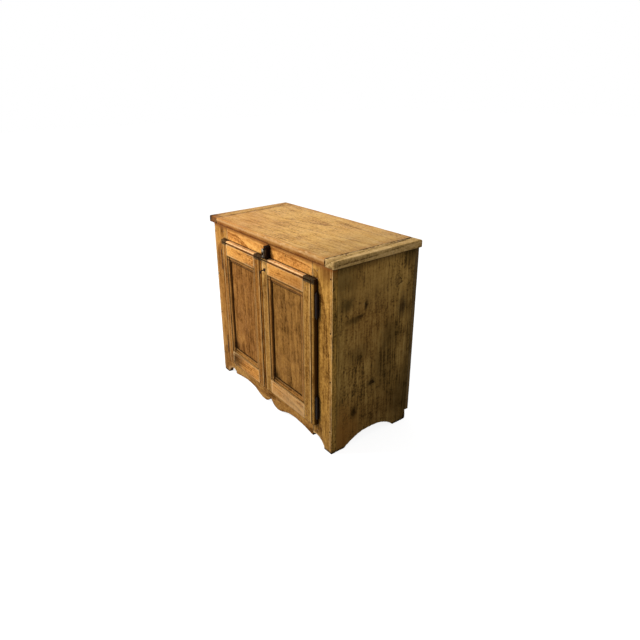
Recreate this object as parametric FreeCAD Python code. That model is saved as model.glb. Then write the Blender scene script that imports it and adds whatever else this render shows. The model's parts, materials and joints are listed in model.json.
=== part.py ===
import FreeCAD, Part
import os

# A low country cupboard in pine, with two panelled doors on barrel hinges,
# a wooden turn button, a nailed plank back and a top with clamped ends.
# Millimetres. +X is to the right, +Y to the back, +Z up, and the floor is
# z = 0. While it is built, y = 0 is the front face of the face frame. The
# finished pieces are moved so that the origin is the bottom centre of the
# whole cupboard.

# The whole case
overall_height = 840.0
case_width = 905.0
case_depth = 448.0

# The top: one wide board, tongued at both ends into a cross cleat
top_thick = 31.0
top_right_overhang = 12.0
top_left_overhang = 38.0
top_front_overhang = 5.0
top_back_overhang = 5.0
top_right_cleat_width = 55.0
top_left_cleat_width = 68.0
top_tongue_thick = 10.0
top_tongue_length = 22.0
top_tongue_shoulder = 34.0
top_corner_radius = 6.0
top_nosing_radius = 6.0
top_underside_radius = 3.0
top_peg_radius = 4.0
top_peg_place_shares = (0.15, 0.5, 0.85)

# The side panels, with an arch between a front and a back foot
side_thick = 22.0
side_front_foot = 71.0
side_back_foot = 77.0
side_arch_height = 48.0
side_arch_shares = (
    (0.0, 0.0), (0.14, 0.52), (0.34, 0.91), (0.5, 1.0),
    (0.76, 0.82), (0.93, 0.34), (1.0, 0.0))

# The face frame: two stiles down to the floor, a top rail and an apron
frame_thick = 24.0
stile_width = 122.0
foot_width = 46.0
foot_arch_height = 44.0
foot_arch_shares = (
    (0.0, 0.0), (0.08, 0.38), (0.38, 0.84), (0.66, 1.0), (1.0, 0.86))
frame_tenon_thick = 8.0
frame_tenon_shoulder = 12.0
frame_peg_radius = 3.5
tenon_length_share = 0.5
peg_place_shares = (0.25, 0.75)

# The apron's lower edge, from its right end to the notch in the middle, in
# shares of half the opening and of the arch height
apron_arch_height = 40.0
apron_edge_shares = (
    (1.0, 0.6), (0.81, 0.86), (0.62, 1.0), (0.45, 0.88), (0.3, 0.46),
    (0.175, 0.22), (0.085, 0.4), (0.0, 1.2))

# The back: four planks nailed on behind, which stop above the floor
back_thick = 18.0
back_board_count = 4
back_floor_gap = 46.0
back_rail_thick = 20.0
back_rail_height = 70.0

# The inside: a bottom board and one shelf, each on a cleat at both ends
bottom_board_thick = 20.0
shelf_thick = 18.0
shelf_height = 421.0
shelf_setback = 8.0
cleat_thick = 20.0
cleat_height = 30.0

# Nails, which hold the stiles to the sides and the planks to the back
nail_radius = 1.6
nail_length = 38.0
nail_head_radius = 3.6
nail_head_height = 1.2
stile_nail_place_shares = (0.13, 0.42, 0.68, 0.95)
plank_nail_place_shares = (0.25, 0.75)

# The doors lie on the face frame and lap over the opening's edges
door_thick = 20.0
door_floor_gap = 100.0
door_top_gap = 61.0
door_end_lap = 26.0
door_side_lap = 33.5
door_meeting_gap = 3.0
door_top_rail_height = 69.0
door_bottom_rail_height = 70.0
right_hinge_stile_width = 68.0
right_meeting_stile_width = 41.0
left_hinge_stile_width = 54.0
left_meeting_stile_width = 62.0
door_tenon_shoulder = 12.0
door_peg_radius = 3.0

# The panels, let into grooves, and the mitred mouldings planted on them
panel_recess = 9.5
panel_thick = 6.0
panel_groove_depth = 9.0
panel_play = 0.5
mould_width = 25.0
mould_sink = 0.8
mould_fillet_width = 3.0
mould_quirk_depth = 1.6
mould_lip_width = 3.0
mould_lip_height = 2.0
mould_crown_shares = (0.6, 0.8)

# The moulding worked on the doors' outer edges: a quirk and a thumbnail, wider
# down the sides than along the top
side_mould_width = 20.0
top_mould_width = 12.0
edge_quirk_width = 2.4
edge_quirk_depth = 3.2
edge_bead_sink = 0.8
side_edge_drop = 8.0
top_edge_drop = 6.0
edge_crown_share = 0.6

# The barrel hinges: a lower knuckle with a blade let into the stile, an upper
# knuckle with a blade let into the door, and a pin fixed in the lower one
barrel_radius = 5.2
barrel_edge_gap = 1.0
knuckle_length = 46.0
knuckle_gap = 0.3
hinge_pin_radius = 3.0
hinge_pin_reach = 36.0
finial_height = 10.0
finial_tip_radius = 1.5
blade_thick = 2.5
blade_depth = 16.0
blade_end_margin = 5.0
upper_hinge_drop = 105.0
lower_hinge_rise = 86.0

# The latch: a spacer block on the top rail, a turn button and its screw
latch_offset = 33.0
latch_block_width = 20.0
latch_top_gap = 6.0
latch_door_gap = 2.5
latch_front_gap = 1.6
button_width = 22.0
button_arm_length = 34.0
button_arch_height = 7.0
button_thick = 10.0
button_clearance = 0.2
latch_screw_radius = 2.5
latch_screw_depth = 16.0
screw_head_radius = 4.6
screw_head_height = 3.2

# The small iron pull on the right door: a bent nail with a round rose
pull_inset = 21.5
pull_drop = 51.0
pull_rod_radius = 2.6
pull_reach = 20.0
pull_bend_radius = 7.0
pull_tail_length = 5.0
pull_rose_radius = 7.0
pull_rose_thick = 2.0

# Fits and cuts
fit_clearance = 0.05
turning_clearance = 0.1
cut_overrun = 5.0

# Lengths that follow from the sizes above
case_half = case_width / 2
left_reach = case_half + top_left_overhang
right_reach = case_half + top_right_overhang
inside_half = case_half - side_thick
opening_half = case_half - stile_width
under_top = overall_height - top_thick
back_face = case_depth - back_thick
door_low = door_floor_gap
door_high = under_top - door_top_gap
door_height = door_high - door_low
apron_top = door_low + door_end_lap
rail_low = door_high - door_end_lap
door_outer = opening_half + door_side_lap
door_inner = door_meeting_gap / 2
door_front = -door_thick
panel_front = door_front + panel_recess
frame_tenon_length = tenon_length_share * stile_width
hinge_axis_x = door_outer + barrel_edge_gap + barrel_radius
hinge_axis_y = -door_thick / 2
hinge_levels = {
    "upper": door_high - upper_hinge_drop,
    "lower": door_low + lower_hinge_rise}
button_pivot_z = door_high + latch_door_gap + button_width / 2
latch_block_front = -(door_thick + latch_front_gap)
button_back = latch_block_front - button_clearance
button_front = button_back - button_thick
screw_head_back = button_front - button_clearance
screw_front = screw_head_back - screw_head_height
pull_front = door_front - pull_reach - pull_rod_radius

X = FreeCAD.Vector(1, 0, 0)
Y = FreeCAD.Vector(0, 1, 0)
Z = FreeCAD.Vector(0, 0, 1)


# Shapes that several pieces share

def point(x, y, z):
    return FreeCAD.Vector(x, y, z)


def block(x, y, z):
    """A square-edged board between three pairs of low and high sides."""
    corner = point(x[0], y[0], z[0])
    return Part.makeBox(x[1] - x[0], y[1] - y[0], z[1] - z[0], corner)


def rod(radius, start, way, length):
    """A round rod from a point, along a unit direction."""
    return Part.makeCylinder(radius, length, start, way)


def lines(points):
    """Straight edges through the points, in their order."""
    return [Part.makeLine(a, b) for a, b in zip(points, points[1:])]


def curve(points):
    """One smooth edge through the points."""
    spline = Part.BSplineCurve()
    spline.interpolate(points)
    return spline.toShape()


def prism(edges, way):
    """The solid that a closed chain of edges sweeps along a vector."""
    return Part.Face(Part.Wire(edges)).extrude(way)


def cut_all(shape, tools):
    for tool in tools:
        shape = shape.cut(tool)
    return shape


def mirrored(shape):
    """The same piece on the left side of the cupboard."""
    return shape.mirror(point(0, 0, 0), X)


# The top

def round_outer_edges(shape, is_outer):
    """Round the upper and lower edges that a test picks, and leave joints square."""
    edges = [edge for edge in shape.Edges if is_outer(edge.BoundBox)]
    upper = [edge for edge in edges if edge.BoundBox.ZMin > overall_height - fit_clearance]
    shape = shape.makeFillet(top_nosing_radius, upper)
    edges = [edge for edge in shape.Edges if is_outer(edge.BoundBox)]
    lower = [edge for edge in edges if edge.BoundBox.ZMax < under_top + fit_clearance]
    return shape.makeFillet(top_underside_radius, lower)


def clamped_end(joint, end, front, back):
    """What a right-hand end of the top adds: tongue, pegs, peg holes and cleat."""
    middle_z = overall_height - top_thick / 2
    tongue_y = (front + top_tongue_shoulder, back - top_tongue_shoulder)
    tongue = block((joint, joint + top_tongue_length), tongue_y,
                   (middle_z - top_tongue_thick / 2, middle_z + top_tongue_thick / 2))
    starts = [
        point(joint + top_tongue_length / 2, tongue_y[0] + share * (tongue_y[1] - tongue_y[0]), under_top)
        for share in top_peg_place_shares]
    pegs = [rod(top_peg_radius, start, Z, top_thick) for start in starts]
    holes = [rod(top_peg_radius + fit_clearance, start, Z, top_thick) for start in starts]

    cleat = block((joint, end), (front, back), (under_top, overall_height))
    corners = [edge for edge in cleat.Edges
               if edge.BoundBox.ZLength > top_thick / 2 and edge.BoundBox.XMin > joint + fit_clearance]
    cleat = cleat.makeFillet(top_corner_radius, corners)
    cleat = round_outer_edges(cleat, lambda box: box.XMax > joint + fit_clearance)
    return tongue, pegs, holes, cut_all(cleat, [tongue] + holes)


def make_top():
    front = -top_front_overhang
    back = case_depth + top_back_overhang
    right_joint = right_reach - top_right_cleat_width
    left_joint = left_reach - top_left_cleat_width
    tongue, pegs, holes, right_cleat = clamped_end(right_joint, right_reach, front, back)
    left_tongue, left_pegs, left_holes, left_cleat = clamped_end(left_joint, left_reach, front, back)

    board = block((-left_joint, right_joint), (front, back), (under_top, overall_height))
    board = round_outer_edges(board, lambda box: box.XLength > right_joint)
    board = board.fuse([tongue, mirrored(left_tongue)]).removeSplitter()
    board = cut_all(board, holes + [mirrored(hole) for hole in left_holes])

    return {
        "top_board": board,
        "top_cleat_right": right_cleat,
        "top_cleat_left": mirrored(left_cleat),
        "top_pegs": Part.makeCompound(pegs + [mirrored(peg) for peg in left_pegs])}


# Nails

def nail(head_seat, way):
    """A wrought nail whose head lies on a face, with its shank along a direction."""
    shank = rod(nail_radius, head_seat, way, nail_length)
    head = Part.makeCone(nail_head_radius, nail_radius, nail_head_height, head_seat, way * -1)
    return shank.fuse(head).removeSplitter()


def nail_hole(head_seat, way):
    return rod(nail_radius + fit_clearance, head_seat, way, nail_length)


stile_nail_seats = [
    point(side * (case_half - side_thick / 2), 0, share * under_top)
    for side in (-1, 1) for share in stile_nail_place_shares]

back_board_width = case_width / back_board_count
plank_nail_levels = (
    apron_top - bottom_board_thick / 2,
    under_top - back_rail_height / 2)
plank_nail_seats = [
    point(-case_half + (number + share) * back_board_width, case_depth, level)
    for number in range(back_board_count)
    for share in plank_nail_place_shares
    for level in plank_nail_levels]

stile_nail_holes = [nail_hole(seat, Y) for seat in stile_nail_seats]
plank_nail_holes = [nail_hole(seat, Y * -1) for seat in plank_nail_seats]


def make_nails():
    stile_nails = [nail(seat, Y) for seat in stile_nail_seats]
    plank_nails = [nail(seat, Y * -1) for seat in plank_nail_seats]
    return {"case_nails": Part.makeCompound(stile_nails + plank_nails)}


# The sides and the back

def make_sides():
    start = side_front_foot
    span = back_face - side_back_foot - start
    arch = [point(inside_half, start + along * span, up * side_arch_height)
            for along, up in side_arch_shares]
    rest = [
        arch[-1],
        point(inside_half, back_face, 0),
        point(inside_half, back_face, under_top),
        point(inside_half, frame_thick, under_top),
        point(inside_half, frame_thick, 0),
        arch[0]]
    panel = prism([curve(arch)] + lines(rest), X * side_thick)
    right = cut_all(panel, [hole for hole in stile_nail_holes if hole.BoundBox.XMin > 0])
    return {"side_panel_right": right, "side_panel_left": mirrored(right)}


def make_back():
    parts = {}
    for number in range(back_board_count):
        low = -case_half + number * back_board_width
        plank = block((low, low + back_board_width), (back_face, case_depth),
                      (back_floor_gap, under_top))
        parts[f"back_board_{number + 1}"] = cut_all(plank, plank_nail_holes)
    rail = block((-inside_half, inside_half), (back_face - back_rail_thick, back_face),
                 (under_top - back_rail_height, under_top))
    parts["back_top_rail"] = cut_all(rail, plank_nail_holes)
    return parts


# The face frame

def frame_tenon(low, high):
    """The right-hand tenon of a rail that lies between two levels."""
    middle = frame_thick / 2
    return block((opening_half, opening_half + frame_tenon_length),
                 (middle - frame_tenon_thick / 2, middle + frame_tenon_thick / 2),
                 (low + frame_tenon_shoulder, high - frame_tenon_shoulder))


def frame_peg_starts(low, high):
    """Where the two pegs of a right-hand frame joint start, on the front face."""
    bottom = low + frame_tenon_shoulder
    tall = high - low - 2 * frame_tenon_shoulder
    x = opening_half + frame_tenon_length / 2
    return [point(x, 0, bottom + share * tall) for share in peg_place_shares]


def make_frame():
    tenons = [frame_tenon(rail_low, under_top), frame_tenon(foot_arch_height, apron_top)]
    starts = frame_peg_starts(rail_low, under_top)
    starts += frame_peg_starts(foot_arch_height, apron_top)
    pegs = [rod(frame_peg_radius, start, Y, frame_thick) for start in starts]
    holes = [rod(frame_peg_radius + fit_clearance, start, Y, frame_thick) for start in starts]
    holes += [mirrored(hole) for hole in holes]

    foot = case_half - foot_width
    arch_span = foot - opening_half
    arch = [point(foot - along * arch_span, 0, up * foot_arch_height)
            for along, up in foot_arch_shares]
    rest = [
        arch[-1],
        point(opening_half, 0, under_top),
        point(case_half, 0, under_top),
        point(case_half, 0, 0),
        arch[0]]
    stile = prism([curve(arch)] + lines(rest), Y * frame_thick)
    blades = [frame_blade(level) for level in hinge_levels.values()]
    nail_holes = [hole for hole in stile_nail_holes if hole.BoundBox.XMin > 0]
    stile = cut_all(stile, tenons + holes + nail_holes + blades)

    rail = block((-opening_half, opening_half), (0, frame_thick), (rail_low, under_top))
    rail = rail.fuse([tenons[0], mirrored(tenons[0])]).removeSplitter()
    screw_hole = rod(latch_screw_radius + fit_clearance,
                     point(latch_offset, 0, button_pivot_z), Y, latch_screw_depth)
    rail = cut_all(rail, holes + [screw_hole])

    edge = [point(along * opening_half, 0, up * apron_arch_height)
            for along, up in apron_edge_shares]
    other_edge = [point(-p.x, p.y, p.z) for p in reversed(edge)]
    top_line = [
        other_edge[-1],
        point(-opening_half, 0, apron_top),
        point(opening_half, 0, apron_top),
        edge[0]]
    apron = prism([curve(edge), curve(other_edge)] + lines(top_line), Y * frame_thick)
    apron = apron.fuse([tenons[1], mirrored(tenons[1])]).removeSplitter()
    apron = cut_all(apron, holes)

    return {
        "front_stile_right": stile,
        "front_stile_left": mirrored(stile),
        "front_top_rail": rail,
        "front_apron": apron,
        "frame_pegs": Part.makeCompound(pegs + [mirrored(peg) for peg in pegs])}


# The inside

def end_cleat(board_low):
    """The right-hand cleat that carries the end of a board."""
    return block((inside_half - cleat_thick, inside_half), (frame_thick, back_face),
                 (board_low - cleat_height, board_low))


def make_inside():
    bottom_low = apron_top - bottom_board_thick
    bottom = block((-inside_half, inside_half), (frame_thick, back_face),
                   (bottom_low, apron_top))
    bottom = cut_all(bottom, plank_nail_holes)
    shelf = block((-inside_half, inside_half), (frame_thick + shelf_setback, back_face),
                  (shelf_height, shelf_height + shelf_thick))
    bottom_cleat = end_cleat(bottom_low)
    shelf_cleat = end_cleat(shelf_height)
    return {
        "bottom_board": bottom,
        "shelf_board": shelf,
        "bottom_cleat_right": bottom_cleat,
        "bottom_cleat_left": mirrored(bottom_cleat),
        "shelf_cleat_right": shelf_cleat,
        "shelf_cleat_left": mirrored(shelf_cleat)}


# The doors, each built as a right-hand door

def edge_mould_cutter(edge_point, inward, width, drop, along, length):
    """What the moulding plane takes off one outer edge of a door's face."""
    def at(inset, depth):
        return edge_point + inward * inset + Y * depth
    bead_width = width - edge_quirk_width
    quirk_end = at(bead_width, edge_quirk_depth)
    crown = at(edge_crown_share * bead_width, edge_bead_sink)
    rim = at(0, drop)
    thumbnail = Part.Arc(quirk_end, crown, rim).toShape()
    rest = [
        rim,
        at(-cut_overrun, drop),
        at(-cut_overrun, -cut_overrun),
        at(width, -cut_overrun),
        at(width, edge_quirk_depth),
        quirk_end]
    return prism([thumbnail] + lines(rest), along * length)


def panel_mould(corner, inward, along, length):
    """One planted moulding, along one side of a panel, with mitred ends."""
    def at(inset, height):
        return corner + inward * inset - Y * height
    top = panel_recess - mould_sink
    arc_start = at(mould_fillet_width, top - mould_quirk_depth)
    arc_end = at(mould_width - mould_lip_width, mould_lip_height)
    width = mould_width - mould_lip_width - mould_fillet_width
    height = top - mould_quirk_depth - mould_lip_height
    crown = at(mould_fillet_width + mould_crown_shares[0] * width,
               mould_lip_height + mould_crown_shares[1] * height)
    ovolo = Part.Arc(arc_start, crown, arc_end).toShape()
    rest = [
        arc_end,
        at(mould_width, mould_lip_height),
        at(mould_width, 0),
        at(0, 0),
        at(0, top),
        at(mould_fillet_width, top),
        arc_start]
    strip = prism([ovolo] + lines(rest), along * length)
    mitre = [
        corner,
        corner + along * length,
        corner + along * (length - mould_width) + inward * mould_width,
        corner + along * mould_width + inward * mould_width,
        corner]
    return strip.common(prism(lines(mitre), Y * -panel_recess))


def make_door(name, hinge_width, meeting_width, moulded_meeting_edge):
    hinge_inner = door_outer - hinge_width
    meeting_outer = door_inner + meeting_width
    top_low = door_high - door_top_rail_height
    bottom_high = door_low + door_bottom_rail_height
    depth = (door_front, 0)
    groove_y = (panel_front, panel_front + panel_thick)

    def tenons(low, high):
        z = (low + door_tenon_shoulder, high - door_tenon_shoulder)
        hinge_reach = tenon_length_share * hinge_width
        meeting_reach = tenon_length_share * meeting_width
        return [block((hinge_inner, hinge_inner + hinge_reach), groove_y, z),
                block((meeting_outer - meeting_reach, meeting_outer), groove_y, z)]

    top_tenons = tenons(top_low, door_high)
    bottom_tenons = tenons(door_low, bottom_high)
    joints = top_tenons + bottom_tenons
    starts = []
    for tenon in joints:
        box = tenon.BoundBox
        for share in peg_place_shares:
            starts.append(point(box.Center.x, door_front, box.ZMin + share * box.ZLength))
    pegs = [rod(door_peg_radius, start, Y, door_thick) for start in starts]
    holes = [rod(door_peg_radius + fit_clearance, start, Y, door_thick) for start in starts]

    outer_corner = point(door_outer, door_front, door_low - cut_overrun)
    side_length = door_height + 2 * cut_overrun
    side_mould = (side_mould_width, side_edge_drop, Z, side_length)
    cutters = [edge_mould_cutter(outer_corner, X * -1, *side_mould)]
    top_corner = point(door_inner - cut_overrun, door_front, door_high)
    top_length = door_outer - door_inner + 2 * cut_overrun
    cutters.append(edge_mould_cutter(top_corner, Z * -1, top_mould_width, top_edge_drop,
                                     X, top_length))
    if moulded_meeting_edge:
        meeting_corner = point(door_inner, door_front, door_low - cut_overrun)
        cutters.append(edge_mould_cutter(meeting_corner, X, *side_mould))

    groove = block((meeting_outer - panel_groove_depth, hinge_inner + panel_groove_depth),
                   groove_y,
                   (bottom_high - panel_groove_depth, top_low + panel_groove_depth))
    sight = block((meeting_outer, hinge_inner), depth, (bottom_high, top_low))
    blades = [door_blade(level) for level in hinge_levels.values()]

    stile_z = (door_low, door_high)
    hinge_stile = block((hinge_inner, door_outer), depth, stile_z)
    hinge_stile = cut_all(hinge_stile, joints + holes + [groove] + blades + cutters)
    meeting_stile = block((door_inner, meeting_outer), depth, stile_z)
    meeting_stile = cut_all(meeting_stile, joints + holes + [groove] + cutters)
    top_rail = block((meeting_outer, hinge_inner), depth, (top_low, door_high))
    top_rail = cut_all(top_rail, [groove] + cutters)
    top_rail = cut_all(top_rail.fuse(top_tenons).removeSplitter(), holes)
    bottom_rail = block((meeting_outer, hinge_inner), depth, (door_low, bottom_high))
    bottom_rail = bottom_rail.cut(groove)
    bottom_rail = cut_all(bottom_rail.fuse(bottom_tenons).removeSplitter(), holes)
    pegs = [cut_all(peg, cutters) for peg in pegs]

    hold = panel_groove_depth - panel_play
    panel = block((meeting_outer - hold, hinge_inner + hold), groove_y,
                  (bottom_high - hold, top_low + hold))

    box = sight.BoundBox
    moulds = {
        "hinge": (point(box.XMax, panel_front, box.ZMin), X * -1, Z, box.ZLength),
        "meeting": (point(box.XMin, panel_front, box.ZMin), X, Z, box.ZLength),
        "top": (point(box.XMin, panel_front, box.ZMax), Z * -1, X, box.XLength),
        "bottom": (point(box.XMin, panel_front, box.ZMin), Z, X, box.XLength)}

    parts = {
        f"{name}_hinge_stile": hinge_stile,
        f"{name}_meeting_stile": meeting_stile,
        f"{name}_top_rail": top_rail,
        f"{name}_bottom_rail": bottom_rail,
        f"{name}_panel": panel,
        f"{name}_pegs": Part.makeCompound(pegs)}
    for where, (corner, inward, along, length) in moulds.items():
        parts[f"{name}_moulding_{where}"] = panel_mould(corner, inward, along, length)
    return parts


# The barrel hinges, on the right side of the cupboard

def frame_blade(level):
    """The blade of a lower knuckle, from the hinge axis into the stile."""
    high = level - knuckle_gap / 2 - blade_end_margin
    low = level - knuckle_gap / 2 - knuckle_length + blade_end_margin
    return block((hinge_axis_x - blade_thick / 2, hinge_axis_x + blade_thick / 2),
                 (hinge_axis_y, blade_depth), (low, high))


def door_blade(level):
    """The blade of an upper knuckle, from the hinge axis into the door."""
    low = level + knuckle_gap / 2 + blade_end_margin
    high = level + knuckle_gap / 2 + knuckle_length - blade_end_margin
    return block((door_outer - blade_depth, hinge_axis_x),
                 (hinge_axis_y - blade_thick / 2, hinge_axis_y + blade_thick / 2),
                 (low, high))


def make_hinge(name, level):
    bore = hinge_pin_radius + fit_clearance
    lower_top = level - knuckle_gap / 2
    lower_end = lower_top - knuckle_length
    upper_end = level + knuckle_gap / 2
    upper_top = upper_end + knuckle_length
    frame_leaf = rod(barrel_radius, point(hinge_axis_x, hinge_axis_y, lower_end), Z, knuckle_length)
    frame_leaf = frame_leaf.fuse(frame_blade(level)).removeSplitter()
    frame_leaf = frame_leaf.cut(
        rod(bore, point(hinge_axis_x, hinge_axis_y, lower_end), Z, knuckle_length))

    door_leaf = rod(barrel_radius, point(hinge_axis_x, hinge_axis_y, upper_end), Z, knuckle_length)
    tip = Part.makeCone(barrel_radius, finial_tip_radius, finial_height,
                        point(hinge_axis_x, hinge_axis_y, upper_top), Z)
    door_leaf = door_leaf.fuse([door_blade(level), tip]).removeSplitter()
    door_leaf = door_leaf.cut(
        rod(bore, point(hinge_axis_x, hinge_axis_y, upper_end), Z, hinge_pin_reach + knuckle_gap))

    pin_length = knuckle_length + knuckle_gap + hinge_pin_reach
    pin = rod(hinge_pin_radius, point(hinge_axis_x, hinge_axis_y, lower_end), Z, pin_length)
    foot = Part.makeCone(barrel_radius, finial_tip_radius, finial_height,
                         point(hinge_axis_x, hinge_axis_y, lower_end), Z * -1)
    pin = pin.fuse(foot).removeSplitter()
    return {
        f"{name}_frame_leaf": frame_leaf,
        f"{name}_door_leaf": door_leaf,
        f"{name}_pin": pin}


# The latch and the pull

def make_latch():
    spacer = block((latch_offset - latch_block_width / 2, latch_offset + latch_block_width / 2),
                   (latch_block_front, 0),
                   (door_high + latch_door_gap, under_top - latch_top_gap))
    seat = point(latch_offset, screw_head_back, button_pivot_z)
    shank_length = latch_screw_depth - screw_head_back
    screw = rod(latch_screw_radius, seat, Y, shank_length)
    head = Part.makeCone(screw_head_radius, latch_screw_radius, screw_head_height, seat, Y * -1)
    screw = screw.fuse(head).removeSplitter()
    spacer = spacer.cut(rod(latch_screw_radius + fit_clearance, seat, Y, shank_length))

    half = button_width / 2

    def at(x, z):
        return point(latch_offset + x, button_front, button_pivot_z + z)
    shoulder = button_arm_length - button_arch_height
    round_end = Part.Arc(at(half, 0), at(0, -half), at(-half, 0)).toShape()
    arm_end = Part.Arc(at(-half, shoulder), at(0, button_arm_length), at(half, shoulder)).toShape()
    outline = [round_end] + lines([at(-half, 0), at(-half, shoulder)])
    outline += [arm_end] + lines([at(half, shoulder), at(half, 0)])
    button = prism(outline, Y * button_thick)
    button = button.cut(rod(latch_screw_radius + turning_clearance, seat, Y, shank_length))
    return {"latch_block": spacer, "turn_button": button, "latch_screw": screw}


def pull_shank():
    """Where the pull's nail lies: its start inside the door, and its straight length."""
    start = point(door_inner + pull_inset, 0, door_high - pull_drop)
    return start, door_thick + pull_reach - pull_bend_radius


def make_pull():
    start, straight = pull_shank()
    bend_start = start - Y * straight
    bend_middle = 2 ** -0.5 * pull_bend_radius
    centre = bend_start - Z * pull_bend_radius
    bend_end = centre - Y * pull_bend_radius
    tail_end = bend_end - Z * pull_tail_length
    between = centre - Y * bend_middle + Z * bend_middle
    path = Part.Wire([
        Part.makeLine(start, bend_start),
        Part.Arc(bend_start, between, bend_end).toShape(),
        Part.makeLine(bend_end, tail_end)])
    section = Part.Wire([Part.makeCircle(pull_rod_radius, start, Y)])
    pull = path.makePipeShell([section], True, False)
    rose_start = point(start.x, door_front, start.z)
    rose = rod(pull_rose_radius, rose_start, Y * -1, pull_rose_thick)
    return {"door_pull": pull.fuse(rose).removeSplitter()}


# Put the pieces together

parts = {}
parts.update(make_top())
parts.update(make_sides())
parts.update(make_back())
parts.update(make_frame())
parts.update(make_inside())
parts.update(make_nails())
parts.update(make_door("right_door", right_hinge_stile_width, right_meeting_stile_width, False))
left_door = make_door("left_door", left_hinge_stile_width, left_meeting_stile_width, True)
parts.update({name: mirrored(shape) for name, shape in left_door.items()})
for place, level in hinge_levels.items():
    parts.update(make_hinge(f"right_{place}_hinge", level))
    left_hinge = make_hinge(f"left_{place}_hinge", level)
    parts.update({name: mirrored(shape) for name, shape in left_hinge.items()})
parts.update(make_latch())
parts.update(make_pull())

pull_start, pull_straight = pull_shank()
pull_hole = rod(pull_rod_radius + fit_clearance, pull_start, Y * -1, door_thick)
for pierced in ("right_door_meeting_stile", "right_door_top_rail"):
    parts[pierced] = parts[pierced].cut(pull_hole)

# The origin: under the middle of everything, from the front-most iron to the
# back edge of the top, and from one end of the top to the other
front_reach = -min(screw_front, pull_front)
back_reach = case_depth + top_back_overhang
face_y = (front_reach - back_reach) / 2
middle_x = (left_reach - right_reach) / 2

os.makedirs("parts", exist_ok=True)
for name, shape in parts.items():
    shape.translate(point(middle_x, face_y, 0))
    shape.exportStep(f"parts/{name}.step")

print("pieces", len(parts), "solids", sum(len(shape.Solids) for shape in parts.values()))
print("case middle at x", middle_x, "face frame front at y", face_y)
print("hinge axes x", middle_x - hinge_axis_x, middle_x + hinge_axis_x, "y", hinge_axis_y + face_y)
print("turn button axis x", latch_offset + middle_x, "y", button_back + face_y, "z", button_pivot_z)
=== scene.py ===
# %% [markdown]
# # A country sideboard in old pine
#
# The real piece is a low cupboard that was made by hand from pine boards and then used for
# generations. A CAD model of it has been packed as a frame of exact, square-edged pieces.
# This lesson dresses that frame: every board is copied and worn, every iron is given a
# forged skin, and the finishes are built from nodes alone. All lengths are in metres, +X is
# to the right as seen from the front, +Y to the back and +Z up.

# %% Load the frame
import json
import math
import bmesh
import bpy
from mathutils import Matrix, Vector, kdtree, noise


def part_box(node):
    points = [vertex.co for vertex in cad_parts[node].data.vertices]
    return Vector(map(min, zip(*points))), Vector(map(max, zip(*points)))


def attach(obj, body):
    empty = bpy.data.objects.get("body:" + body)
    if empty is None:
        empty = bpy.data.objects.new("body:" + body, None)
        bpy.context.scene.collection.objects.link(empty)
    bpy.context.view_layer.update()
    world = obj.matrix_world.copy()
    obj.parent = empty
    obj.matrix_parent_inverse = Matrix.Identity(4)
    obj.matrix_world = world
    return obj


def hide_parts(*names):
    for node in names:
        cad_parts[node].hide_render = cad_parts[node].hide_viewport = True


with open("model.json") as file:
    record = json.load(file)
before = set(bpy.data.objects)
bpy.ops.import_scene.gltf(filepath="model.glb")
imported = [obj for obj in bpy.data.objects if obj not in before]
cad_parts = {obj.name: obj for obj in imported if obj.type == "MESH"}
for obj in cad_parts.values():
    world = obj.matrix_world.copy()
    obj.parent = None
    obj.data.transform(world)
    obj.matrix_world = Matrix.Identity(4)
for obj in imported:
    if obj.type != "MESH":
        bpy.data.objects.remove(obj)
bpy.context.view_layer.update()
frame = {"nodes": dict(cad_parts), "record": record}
bodies = frame["record"]["behaviour"]["bodies"]
body_of_node = {node: body for body, nodes in bodies.items() for node in nodes}
MM = 0.001
face_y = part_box("front_stile_right")[0].y
middle_x = (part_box("front_stile_left")[0].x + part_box("front_stile_right")[1].x) / 2
print(len(frame["nodes"]), "pieces, and the front is at y", round(face_y, 4))

# %% [markdown]
# ## The camera
#
# The photograph's camera was worked out from the straight edges of the case. It stands to
# the right of the front, a little above the top, and rolls by a degree and a half. A camera
# could be aimed with a Track To constraint, but three angles from the fit are exact.

# %% Place the camera
PHOTO_WIDTH = 640
FOCAL_PIXELS = 529.68
CENTRE_PIXELS = (287.96, 298.86)
SENSOR_WIDTH = 36.0
CAMERA_PLACE = Vector((middle_x + 1.8324, -1.3497, 1.4286))
YAW, PITCH, ROLL = -0.969243, -0.386982, -0.025415

forward = Vector((math.sin(YAW) * math.cos(PITCH), math.cos(YAW) * math.cos(PITCH),
                  math.sin(PITCH)))
level = Vector((math.cos(YAW), -math.sin(YAW), 0))
above = level.cross(forward)
right = math.cos(ROLL) * level + math.sin(ROLL) * above
up = -math.sin(ROLL) * level + math.cos(ROLL) * above

camera_data = bpy.data.cameras.new("photo_camera")
camera_data.sensor_width = SENSOR_WIDTH
camera_data.lens = SENSOR_WIDTH * FOCAL_PIXELS / PHOTO_WIDTH
camera_data.shift_x = (PHOTO_WIDTH / 2 - CENTRE_PIXELS[0]) / PHOTO_WIDTH
camera_data.shift_y = (CENTRE_PIXELS[1] - PHOTO_WIDTH / 2) / PHOTO_WIDTH
camera = bpy.data.objects.new("photo_camera", camera_data)
turn = Matrix((right, up, -forward)).transposed().to_4x4()
camera.matrix_world = Matrix.Translation(CAMERA_PLACE) @ turn
bpy.context.scene.collection.objects.link(camera)
bpy.context.scene.camera = camera
print("lens", round(camera_data.lens, 2), "mm")

# %% [markdown]
# ## One way to add a node
#
# Every finish below is a chain of shader nodes. One small function adds a node, sets what
# is given by name, and plugs in sockets or plain values, so that each line of a finish
# reads like a sentence.

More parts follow.
